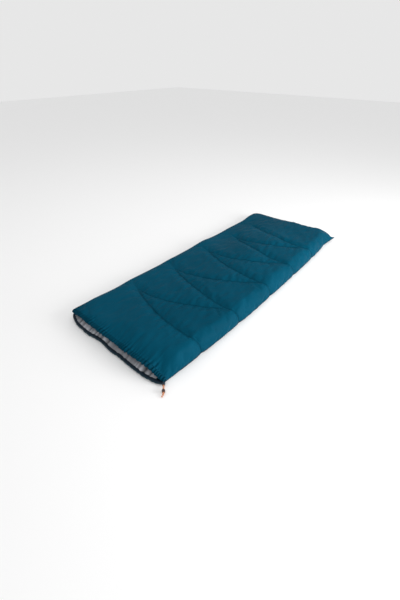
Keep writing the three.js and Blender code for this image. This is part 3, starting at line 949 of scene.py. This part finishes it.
def cord_knot():
    """The knot, a trefoil no larger than the frame's own."""
    low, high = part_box("drawcord_knot")
    centre = np.array((low + high) / 2)
    radius = (high.z - low.z) / 2
    t = np.linspace(0, 2 * math.pi, 72, endpoint=False)
    x = np.sin(t) + 2 * np.sin(2 * t)
    y = np.cos(t) - 2 * np.cos(2 * t)
    curve = np.stack([x, y, -1.1 * np.sin(3 * t)], axis=1)
    curve *= (radius - KNOT_CORD) / np.abs(curve).max()
    path = centre + curve
    path = np.vstack([path, path[:1]])
    obj = tube("cord_knot", path, KNOT_CORD, sides=10)
    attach(obj, "lower")
    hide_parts("drawcord_knot")
    return obj


# ---------------- materials
TEAL = (0.0008, 0.062, 0.108)
GREY = (0.46, 0.47, 0.51)
TURN_SHADE = 0.58  # of the grey: painted shade where the lining turns at the fold side, as dark as the painted shade on the flat linings away from their folds
WEAVE = 0.0007
STITCH = 0.0036
STITCH_SHARE = 0.68  # the rest of each stitch is under the cloth
BRAID_PITCH = 0.0011
BRAID_BUNDLES = 8


class Paint:
    """A node material, built by short calls."""

    def __init__(self, name, colour, roughness, **constants):
        self.material = bpy.data.materials.new(name)
        self.material.use_nodes = True
        self.tree = self.material.node_tree
        self.shader = self.tree.nodes["Principled BSDF"]
        self.shader.inputs["Base Color"].default_value = (*colour, 1)
        self.shader.inputs["Roughness"].default_value = roughness
        for socket, value in constants.items():
            self.shader.inputs[socket.replace("_", " ")].default_value = value
        self.place = self.node("ShaderNodeTexCoord").outputs["Object"]
        self.normal = None

    def node(self, kind, **settings):
        made = self.tree.nodes.new(kind)
        for key, value in settings.items():
            setattr(made, key, value)
        return made

    def link(self, source, target):
        self.tree.links.new(source, target)

    def noise(self, scale, detail=3.0, stretch=(1, 1, 1)):
        mapping = self.node("ShaderNodeMapping")
        mapping.inputs["Scale"].default_value = stretch
        self.link(self.place, mapping.inputs["Vector"])
        noise = self.node("ShaderNodeTexNoise")
        noise.inputs["Scale"].default_value = scale
        noise.inputs["Detail"].default_value = detail
        self.link(mapping.outputs["Vector"], noise.inputs["Vector"])
        return noise.outputs["Fac"]

    def bands(self, axis, period):
        wave = self.node("ShaderNodeTexWave", wave_type="BANDS", bands_direction=axis)
        wave.inputs["Scale"].default_value = math.pi / 10 / period
        self.link(self.place, wave.inputs["Vector"])
        return wave.outputs["Fac"]

    def math(self, operation, a, b):
        made = self.node("ShaderNodeMath", operation=operation)
        for socket, value in zip(made.inputs, (a, b)):
            if isinstance(value, (int, float)):
                socket.default_value = value
            else:
                self.link(value, socket)
        return made.outputs[0]

    def ramp(self, value, low, high, to_low, to_high):
        made = self.node("ShaderNodeMapRange")
        made.inputs["From Min"].default_value = low
        made.inputs["From Max"].default_value = high
        made.inputs["To Min"].default_value = to_low
        made.inputs["To Max"].default_value = to_high
        self.link(value, made.inputs["Value"])
        return made.outputs[0]

    def attribute(self, name):
        return self.node("ShaderNodeAttribute", attribute_name=name).outputs["Fac"]

    def mix(self, factor, a, b):
        """Colour a where factor is 0, and b where it is 1."""
        made = self.node("ShaderNodeMix", data_type="RGBA")
        self.link(factor, made.inputs["Factor"])
        for socket, value in ((made.inputs[6], a), (made.inputs[7], b)):
            if isinstance(value, tuple):
                socket.default_value = (*value, 1)
            else:
                self.link(value, socket)
        return made.outputs[2]

    def bump(self, height, distance, strength=1.0):
        made = self.node("ShaderNodeBump")
        made.inputs["Distance"].default_value = distance
        made.inputs["Strength"].default_value = strength
        self.link(height, made.inputs["Height"])
        if self.normal is not None:
            self.link(self.normal, made.inputs["Normal"])
        self.normal = made.outputs["Normal"]
        self.link(self.normal, self.shader.inputs["Normal"])

    def colour(self, value):
        self.link(value, self.shader.inputs["Base Color"])

    def roughness(self, value):
        self.link(value, self.shader.inputs["Roughness"])


def scaled(colour, factor):
    return tuple(c * factor for c in colour)


def cloth(name, colour, roughness, seams=True, folds=False, thread=None):
    """Woven cloth: colour drift, a plain weave, small creases, and stitched seams with painted shade
    beside them; with folds, painted shade in the hollows of the folds.
    """
    paint = Paint(name, colour, roughness, Specular_IOR_Level=0.02)
    drift = paint.ramp(paint.noise(2.6, 4), 0.3, 0.7, 0, 1)
    tone = paint.mix(drift, scaled(colour, 0.88), scaled(colour, 1.10))
    threads = paint.math("MULTIPLY", paint.bands("X", WEAVE), paint.bands("Y", WEAVE))
    tone = paint.mix(paint.ramp(threads, 0, 1, 0.25, 0), tone, scaled(colour, 0.6))
    if seams:
        far = paint.attribute("seam_far")
        # Painted shade: the cloth darkens within about 6 mm of each seam, standing in for the shade
        # in the seam's groove.
        painted_shade = paint.ramp(far, 0.0006, 0.0065, 1, 0)
        tone = paint.mix(paint.math("MULTIPLY", painted_shade, 0.6), tone, scaled(colour, 0.25))
        dash = paint.math("FRACT", paint.math("DIVIDE", paint.attribute("seam_along"), STITCH), 0)
        seen = paint.math("LESS_THAN", dash, STITCH_SHARE)
        stitch = paint.math("MULTIPLY", seen, paint.math("LESS_THAN", far, 0.0009))
        tone = paint.mix(stitch, tone, thread or scaled(colour, 1.3))
        paint.bump(stitch, 0.0004, 0.8)
    if folds:
        # Painted shade from the fold attribute: darkest in the hollows of the folds and under the
        # casing, and a little over half as bright where the attribute is 0.
        painted_shade = paint.ramp(paint.attribute("fold"), -0.75, 0.75, 0.97, 0)
        tone = paint.mix(painted_shade, tone, scaled(colour, 0.10))
    paint.colour(tone)
    paint.roughness(paint.ramp(paint.noise(9, 3), 0.3, 0.7, roughness - 0.06, roughness + 0.08))
    paint.bump(paint.noise(55, 5, (1, 1.4, 1)), 0.0006, 0.6)
    paint.bump(threads, 0.0002, 0.5)
    return paint.material


def hem_cloth():
    # The hem is the lower half's shell turned up at the mouth, and both colours are painted shade,
    # far darker than the shell's teal. The darker row along the band's bottom is painted shadow where
    # it meets the floor; the darker row along its top is the dark seam to the lining.
    dark, light = (0.0025, 0.011, 0.022), (0.008, 0.036, 0.052)
    paint = Paint("hem_fabric", dark, 0.6, Specular_IOR_Level=0.15)
    height = paint.attribute("band_height")
    above, below = paint.ramp(height, 0.22, 0.32, 0, 1), paint.ramp(height, 0.70, 0.80, 1, 0)
    middle = paint.math("MULTIPLY", above, below)
    paint.colour(paint.mix(middle, dark, light))
    paint.bump(paint.noise(60, 4), 0.0006, 0.6)
    threads = paint.math("MULTIPLY", paint.bands("Y", WEAVE), paint.bands("Z", WEAVE))
    paint.bump(threads, 0.0002, 0.5)
    return paint.material


def tape_cloth():
    colour = (0.004, 0.012, 0.022)
    paint = Paint("zip_tape", colour, 0.75, Sheen_Weight=0.1)
    ribs = paint.bands("Z", 0.0009)
    paint.colour(paint.mix(ribs, colour, scaled(colour, 1.8)))
    paint.bump(ribs, 0.0002, 0.7)
    return paint.material


def coil_plastic():
    colour = (0.006, 0.014, 0.022)
    paint = Paint("zip_coil", colour, 0.35)
    paint.colour(paint.mix(paint.noise(40, 2), colour, scaled(colour, 1.6)))
    return paint.material


def worn_metal():
    colour = (0.05, 0.055, 0.06)
    paint = Paint("zip_metal", colour, 0.32, Metallic=0.9)
    wear = paint.ramp(paint.noise(260, 6), 0.52, 0.62, 0, 1)
    paint.colour(paint.mix(wear, colour, (0.16, 0.16, 0.165)))
    paint.roughness(paint.ramp(paint.noise(400, 4), 0.3, 0.7, 0.25, 0.45))
    paint.bump(paint.noise(900, 3), 0.00005, 0.5)
    return paint.material


def braided_cord():
    light, dark = (0.72, 0.30, 0.14), (0.45, 0.14, 0.05)
    paint = Paint("cord", light, 0.75, Sheen_Weight=0.2)
    along = paint.math("DIVIDE", paint.attribute("along"), BRAID_PITCH)
    around = paint.math("MULTIPLY", paint.attribute("around"), BRAID_BUNDLES / (2 * math.pi))
    left = paint.math("PINGPONG", paint.math("ADD", along, around), 1.0)
    right = paint.math("PINGPONG", paint.math("SUBTRACT", along, around), 1.0)
    braid = paint.math("MAXIMUM", left, right)
    paint.colour(paint.mix(braid, dark, light))
    paint.bump(braid, 0.0004, 0.9)
    return paint.material


def lock_plastic():
    colour = (0.035, 0.018, 0.015)
    paint = Paint("lock_plastic", colour, 0.45)
    paint.colour(paint.mix(paint.noise(120, 3), colour, scaled(colour, 1.5)))
    paint.roughness(paint.ramp(paint.noise(500, 3), 0.3, 0.7, 0.38, 0.55))
    paint.bump(paint.noise(1500, 2), 0.00006, 0.6)
    return paint.material


def spring_steel():
    paint = Paint("spring_steel", (0.5, 0.5, 0.5), 0.3, Metallic=1.0)
    paint.roughness(paint.ramp(paint.noise(300, 2), 0.3, 0.7, 0.22, 0.4))
    return paint.material


def dress(material, *objects):
    """Gives pieces made here their material."""
    for obj in objects:
        obj.data.materials.clear()
        obj.data.materials.append(material)


def dress_nodes(material, *names):
    """Gives pieces carried over from the frame their material."""
    for name in names:
        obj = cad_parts[name]
        for slot in obj.material_slots:
            slot.material = material


# ---------------- room and light
FLOOR_HALF = 12
FLOOR_COLOUR = (0.92, 0.92, 0.92)
WORLD_LIGHT = 0.80
LIGHTS = (  # name, place, size, power
    ("key", (0.7, -3.0, 0.9), 1.6, 98),
    ("overhead", (0.3, 0.4, 3.4), 3.0, 16),
)


def room():
    mesh = bpy.data.meshes.new("floor")
    corners = [(x * FLOOR_HALF, y * FLOOR_HALF, 0) for x, y in ((-1, -1), (1, -1), (1, 1), (-1, 1))]
    mesh.from_pydata(corners, [], [(0, 1, 2, 3)])
    floor = bpy.data.objects.new("floor", mesh)
    bpy.context.scene.collection.objects.link(floor)
    pale = Paint("floor_pale", FLOOR_COLOUR, 0.9)
    pale.bump(pale.noise(3, 2), 0.0005, 0.1)
    floor.data.materials.append(pale.material)
    world = bpy.data.worlds.new("studio")
    world.use_nodes = True
    background = world.node_tree.nodes["Background"]
    background.inputs["Color"].default_value = (1, 1, 1, 1)
    background.inputs["Strength"].default_value = WORLD_LIGHT
    bpy.context.scene.world = world
    for name, place, size, power in LIGHTS:
        light = bpy.data.lights.new(name, "AREA")
        light.size = size
        light.energy = power
        obj = bpy.data.objects.new(name, light)
        bpy.context.scene.collection.objects.link(obj)
        obj.location = place
        obj.rotation_euler = (-Vector(place)).to_track_quat("-Z", "Y").to_euler()
    bpy.context.scene.view_settings.view_transform = "Standard"


# ---------------- everything
camera()
cords = strands()
top = quilted_top()
bottom = quilted_bottom()
piping = side_piping()
inside = Inside(top)
linings = [lining(-1, inside), lining(1, inside), lining_turn(inside)]
hem = mouth_hem()
casing = mouth_casing()
coils = [zip_coil("lower", -1), zip_coil("upper", 1)]
tapes = [zip_tape("lower", LOWER_TAPE_ROWS), zip_tape("upper", UPPER_TAPE_ROWS)]
runs = [
    drawcord_run("lower", hem_front, HEM_DEPTH / 2, hem_middle),
    drawcord_run("upper", casing_front, CASING_DEPTH / 2, casing_middle),
]
knot = cord_knot()
spring = lock_spring()

dress(cloth("shell_fabric", TEAL, 0.55), top, bottom)
# The casing is the shell's teal at three quarters: painted shade on the gathered mouth edge, which
# faces away from the light.
dress(cloth("casing_fabric_painted_shade", scaled(TEAL, 0.75), 0.55, seams=False), casing)
dress(cloth("lining_fabric", GREY, 0.7, folds=True, thread=(0.4, 0.41, 0.43)), *linings[:2])
# The turn's grey is painted shade, to match the flat linings.
dress(cloth("lining_turn_fabric_painted_shade", scaled(GREY, TURN_SHADE), 0.7, seams=False), linings[2])
dress(hem_cloth(), hem)
tape = tape_cloth()
dress(tape, piping, *tapes)
dress_nodes(tape, "drawcord_outlet")
dress(coil_plastic(), *coils)
dress_nodes(worn_metal(), "zip_stop_head", "zip_stop_foot", "zip_slider_head", "zip_puller_head",
            "zip_slider_foot", "zip_puller_foot")
dress(braided_cord(), knot, *runs, *[cord for cord, _, _ in cords])
dress_nodes(lock_plastic(), "cord_lock_body", "cord_lock_button")
dress(spring_steel(), spring)

room()
